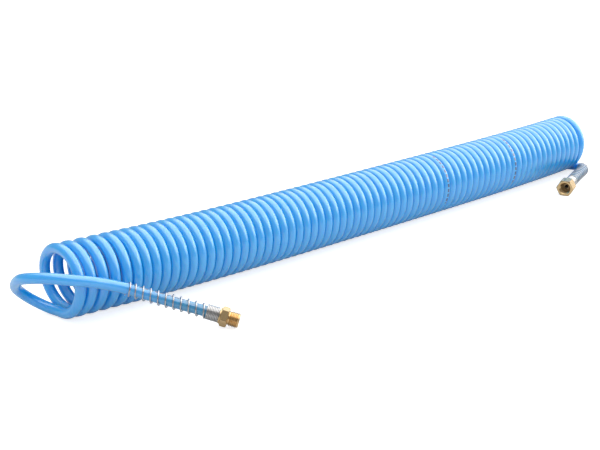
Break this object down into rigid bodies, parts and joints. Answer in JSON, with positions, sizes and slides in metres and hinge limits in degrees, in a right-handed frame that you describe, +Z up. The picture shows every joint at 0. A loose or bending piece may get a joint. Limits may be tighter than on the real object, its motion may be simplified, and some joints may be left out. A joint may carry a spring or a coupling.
{
  "type": "coiled air hose",
  "caption": "Self-retracting coiled air hose with a straight tail, wire spring guard and brass threaded fitting at each end.",
  "frame": {"origin": "on the surface that the hose lies on, under the middle of the whole hose's box", "axes": "+X along the coil from the male thread end to the union nut end, +Z up, both tails on the -Y side"},
  "size_m": [0.7446, 0.1528, 0.064],
  "materials": {
    "hose": "clear-toned sky blue polyurethane tube, smooth and glossy",
    "spring_steel": "bright zinc plated spring wire",
    "brass": "bright turned brass",
    "rubber": "black nitrile rubber"
  },
  "bodies": {
    "hose": {"hose_coil": "hose", "near_hose_tail": "hose", "near_hose_end": "hose", "near_spring_guard": "spring_steel", "male_stem": "brass", "male_sealing_ring": "rubber", "male_snap_ring": "spring_steel"},
    "male_swivel": {"male_swivel_body": "brass"},
    "far_end": {"far_hose_tail": "hose", "far_hose_end": "hose", "far_spring_guard": "spring_steel", "union_stem": "brass", "stop_collar": "brass", "union_seal_washer": "rubber"},
    "nut": {"union_nut": "brass"}
  },
  "joints": [
    {"name": "coil_stretch", "type": "slide", "parent": "hose", "child": "far_end", "axis": [1, 0, 0], "range_m": [0, 2.1], "stiffness_N_per_m": 4, "deforming": ["hose_coil"]},
    {"name": "male_swivel_turn", "type": "hinge", "parent": "hose", "child": "male_swivel", "pos_m": [-0.2423, -0.06316, 0.00968], "axis": [0.6559, -0.7069, -0.2649], "continuous": true},
    {"name": "nut_turn", "type": "hinge", "parent": "far_end", "child": "nut", "pos_m": [0.28541, -0.02062, 0.0086], "axis": [-0.9224, -0.3862, 0], "continuous": true}
  ]
}
